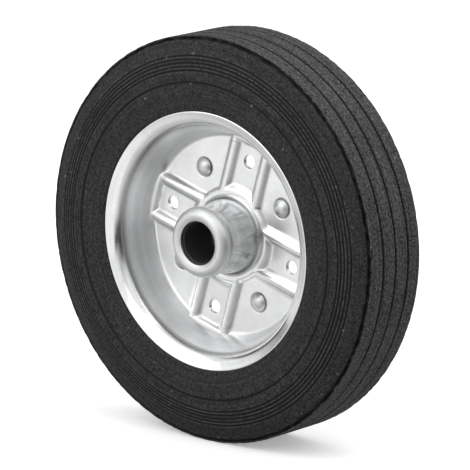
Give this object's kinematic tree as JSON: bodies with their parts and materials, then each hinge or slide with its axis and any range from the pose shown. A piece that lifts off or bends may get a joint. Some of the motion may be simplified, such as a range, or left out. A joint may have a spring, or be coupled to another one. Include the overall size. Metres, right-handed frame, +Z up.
{
  "type": "utility wheel",
  "caption": "Solid-rubber-tyred wheel on a riveted pressed-steel rim, with a drawn hub and plain bushes for a straight axle.",
  "frame": {"origin": "wheel centre: on the axle's line, in the middle plane between the two rim halves", "axes": "+Y along the axle towards the back of the wheel, +Z up, +X to the right as seen from the front"},
  "size_m": [0.2, 0.055, 0.2],
  "materials": {
    "rubber": "matt, fine grain",
    "zinc_plate": "bright zinc plate on pressed sheet",
    "hub_zinc": "zinc plate, drawn sheet",
    "bush_plastic": "moulded, black",
    "rivet_steel": "zinc plate"
  },
  "bodies": {
    "root": {"tyre": "rubber", "rim_half_front": "zinc_plate", "rim_half_back": "zinc_plate", "hub_shell_front": "hub_zinc", "hub_shell_back": "hub_zinc", "bush_front": "bush_plastic", "bush_back": "bush_plastic", "rivets": "rivet_steel"}
  },
  "joints": []
}
